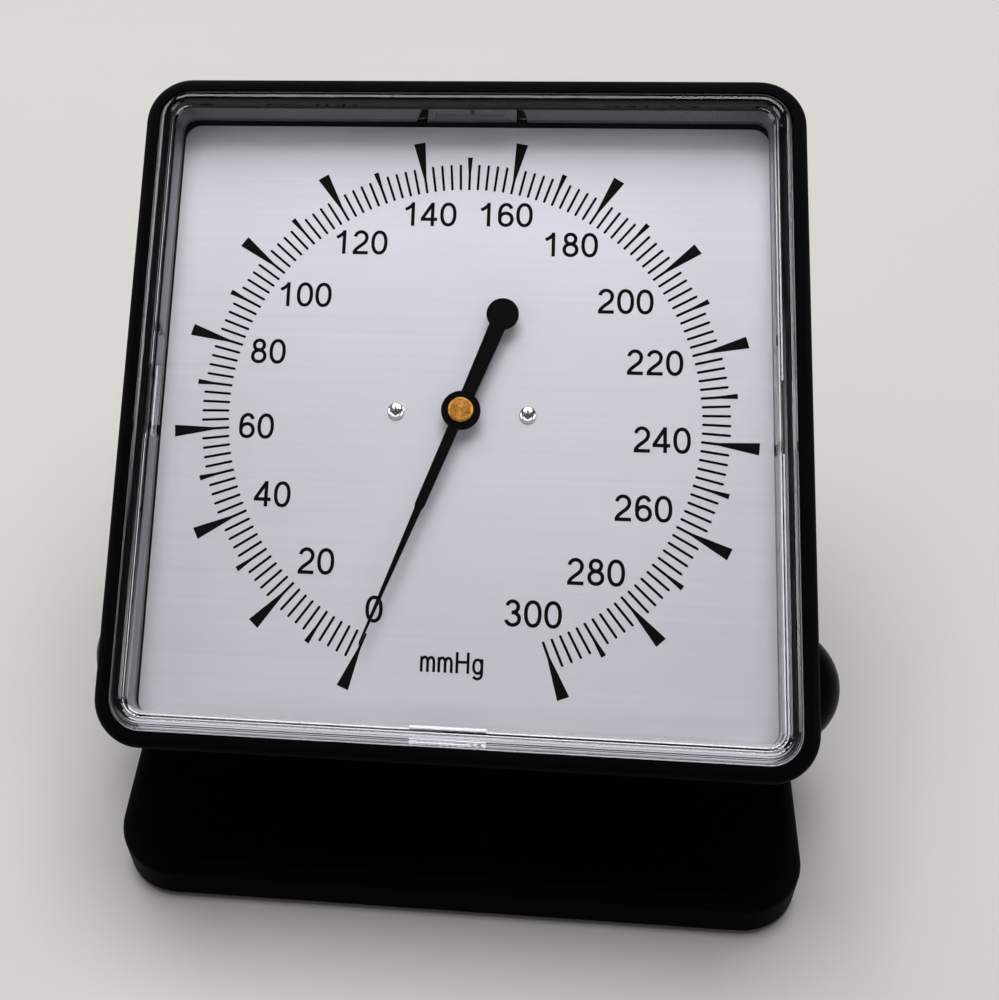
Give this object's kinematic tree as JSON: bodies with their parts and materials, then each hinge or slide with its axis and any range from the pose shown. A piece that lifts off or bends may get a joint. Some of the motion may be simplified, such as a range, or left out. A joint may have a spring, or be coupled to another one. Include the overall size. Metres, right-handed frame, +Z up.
{
  "type": "desk aneroid sphygmomanometer",
  "caption": "Desk aneroid blood pressure gauge: square tilting head with a round pointer scale behind a clear window, on a low foot with two clamp knobs.",
  "frame": {"origin": "middle of the foot's footprint, on the underside of its rubber mat", "axes": "+Z up, the dial looks towards -Y and up, +X to the right as seen from the front"},
  "size_m": [0.1688, 0.1392, 0.1418],
  "materials": {
    "black_case": "fine grain",
    "black_foot": "satin",
    "black_knob": "smooth",
    "clear_window": "polished",
    "dial_sheet": "fine brushed, silver white",
    "pointer_black": "satin",
    "brass": "machined",
    "steel": "bright",
    "plated_steel": "plated",
    "bronze": "spring bronze",
    "rubber": "matt",
    "fibre": "matt"
  },
  "bodies": {
    "stand": {"foot": "black_foot", "foot_plate": "plated_steel", "foot_screws": "steel", "rubber_mat": "rubber"},
    "head": {"front_case": "black_case", "rear_cover": "black_case", "cover_screws": "steel", "window": "clear_window", "dial_plate": "dial_sheet", "dial_screws": "steel", "dial_posts": "brass", "hairspring": "bronze", "hairspring_stud": "brass", "upper_plate": "brass", "lower_plate": "brass", "short_pillars": "brass", "pillar_screws": "steel", "long_posts": "brass", "post_screws": "steel", "carrier_plate": "plated_steel", "rocker_shaft": "steel", "rocker_lugs": "brass", "capsule_rear": "bronze", "capsule_front": "bronze", "hose_nipple": "brass", "stem_nut": "brass", "sealing_washer": "rubber", "hinge_inserts": "brass", "hinge_washers": "fibre"},
    "pointer_set": {"pointer": "pointer_black", "pointer_boss": "brass", "pinion": "brass", "pointer_arbor": "steel", "hairspring_collet": "brass"},
    "sector_set": {"toothed_sector": "brass", "sector_arbor": "steel", "sector_pin": "steel"},
    "rocker_set": {"rocker": "plated_steel"},
    "stud_set": {"capsule_stud": "brass"},
    "right_clamp": {"knob_right": "black_knob", "bolt_right": "steel"},
    "left_clamp": {"knob_left": "black_knob", "bolt_left": "steel"}
  },
  "joints": [
    {"name": "head_tilt", "type": "hinge", "parent": "stand", "child": "head", "pos_m": [0, -0.0187, 0.0353], "axis": [1, 0, 0], "range_deg": [-17, 48]},
    {"name": "right_knob_turn", "type": "hinge", "parent": "head", "child": "right_clamp", "pos_m": [0.078, -0.0187, 0.0353], "axis": [1, 0, 0], "range_deg": [0, 180]},
    {"name": "left_knob_turn", "type": "hinge", "parent": "head", "child": "left_clamp", "pos_m": [-0.078, -0.0187, 0.0353], "axis": [-1, 0, 0], "range_deg": [0, 180]},
    {"name": "pointer_turn", "type": "hinge", "parent": "head", "child": "pointer_set", "pos_m": [0, 0.01199, 0.08597], "axis": [0, 0.6018, -0.7986], "range_deg": [0, 317.6], "stiffness_Nm_per_rad": 0.0008, "springref_deg": -13.75, "deforming": ["hairspring"]},
    {"name": "sector_swing", "type": "hinge", "parent": "head", "child": "sector_set", "pos_m": [0, 0.00213, 0.06765], "axis": [0, -0.6018, 0.7986], "range_deg": [0, 39.72]},
    {"name": "rocker_rock", "type": "hinge", "parent": "head", "child": "rocker_set", "pos_m": [-0.0022, 0.02185, 0.07287], "axis": [0, -0.7986, -0.6018], "range_deg": [0, 39.72]},
    {"name": "stud_push", "type": "slide", "parent": "head", "child": "stud_set", "axis": [0, -0.6018, 0.7986], "range_m": [0, 0.0015], "deforming": ["capsule_front", "capsule_rear"]}
  ],
  "couplings": [
    {"joint": "sector_swing", "follows": "pointer_turn", "ratio": 0.125},
    {"joint": "rocker_rock", "follows": "pointer_turn", "ratio": 0.125},
    {"joint": "stud_push", "follows": "pointer_turn", "m_per_rad": 0.00026953}
  ]
}
